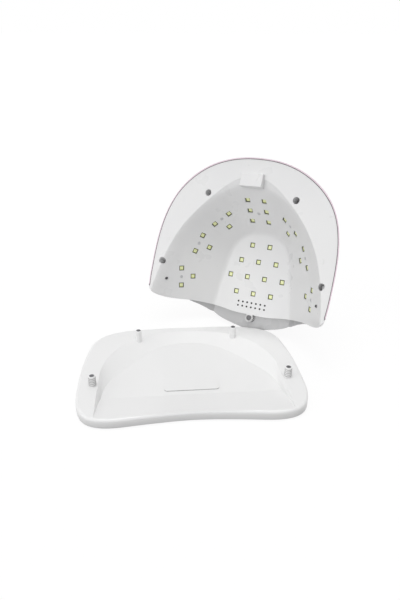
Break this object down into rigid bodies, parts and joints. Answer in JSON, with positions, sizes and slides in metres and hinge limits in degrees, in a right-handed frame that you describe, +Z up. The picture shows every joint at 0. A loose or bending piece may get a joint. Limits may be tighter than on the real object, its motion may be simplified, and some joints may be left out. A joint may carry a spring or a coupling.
{
  "type": "led nail lamp",
  "caption": "Dome-shaped LED nail curing lamp: a lined housing with LED windows tipped on its front edge behind a lift-off base tray with four pegs.",
  "frame": {"origin": "on the table, under the middle of the bounding box of the whole arrangement", "axes": "+Z up; -Y towards the user, where the tray's open front edge is; +X to the user's right"},
  "size_m": [0.2627, 0.2478, 0.1948],
  "materials": {
    "button_white": "glossy white",
    "capacitor_can": "satin",
    "chip_black": "matt black",
    "control_laminate": "green solder mask",
    "dark_display": "glossy dark",
    "display_case": "satin",
    "foot_rubber": "matt pale",
    "inductor_ferrite": "matt",
    "led_board": "white solder mask",
    "led_frame": "satin",
    "led_phosphor": "satin",
    "magnet_nickel": "nickel plated, dark",
    "nut_nickel": "nickel plated",
    "pin_brass": "plated",
    "pink_gloss": "glossy pale pink",
    "screw_steel": "bright",
    "sensor_clear": "tinted",
    "socket_black": "satin black",
    "switch_black": "matt black",
    "tray_white": "glossy white",
    "white_gloss": "glossy white"
  },
  "bodies": {
    "housing": {"board_screws": "screw_steel", "capacitors": "capacitor_can", "control_board": "control_laminate", "control_board_screws": "screw_steel", "dc_socket": "socket_black", "dc_socket_nut": "nut_nickel", "dc_socket_pin": "pin_brass", "display_module": "display_case", "display_window": "dark_display", "infrared_emitter": "sensor_clear", "infrared_receiver": "sensor_clear", "lamp_bowl": "white_gloss", "left_front_board": "led_board", "left_leds": "led_frame", "left_middle_board": "led_board", "left_phosphors": "led_phosphor", "left_rear_board": "led_board", "lip_screw": "screw_steel", "microcontroller": "chip_black", "outer_shell": "pink_gloss", "power_inductor": "inductor_ferrite", "rear_board": "led_board", "rear_leds": "led_frame", "rear_phosphors": "led_phosphor", "right_front_board": "led_board", "right_leds": "led_frame", "right_middle_board": "led_board", "right_phosphors": "led_phosphor", "right_rear_board": "led_board", "rim_screws": "screw_steel", "roof_board": "led_board", "roof_leds": "led_frame", "roof_phosphors": "led_phosphor", "tact_switches": "switch_black"},
    "tray": {"tray_shell": "tray_white", "peg_magnets": "magnet_nickel", "tray_feet": "foot_rubber"},
    "button_10s_body": {"button_10s": "button_white"},
    "button_30s_body": {"button_30s": "button_white"},
    "button_60s_body": {"button_60s": "button_white"},
    "button_99s_body": {"button_99s": "button_white"}
  },
  "joints": [
    {"name": "tray_pull_off", "type": "slide", "parent": "housing", "child": "tray", "axis": [0, -1, 0], "range_m": [0, 0.12]},
    {"name": "button_10s_press", "type": "slide", "parent": "housing", "child": "button_10s_body", "axis": [-0.5205, -0.6477, 0.5564], "range_m": [0, 0.0006], "stiffness_N_per_m": 900},
    {"name": "button_30s_press", "type": "slide", "parent": "housing", "child": "button_30s_body", "axis": [-0.5205, -0.6477, 0.5564], "range_m": [0, 0.0006], "stiffness_N_per_m": 900},
    {"name": "button_60s_press", "type": "slide", "parent": "housing", "child": "button_60s_body", "axis": [-0.5205, -0.6477, 0.5564], "range_m": [0, 0.0006], "stiffness_N_per_m": 900},
    {"name": "button_99s_press", "type": "slide", "parent": "housing", "child": "button_99s_body", "axis": [-0.5205, -0.6477, 0.5564], "range_m": [0, 0.0006], "stiffness_N_per_m": 900}
  ]
}
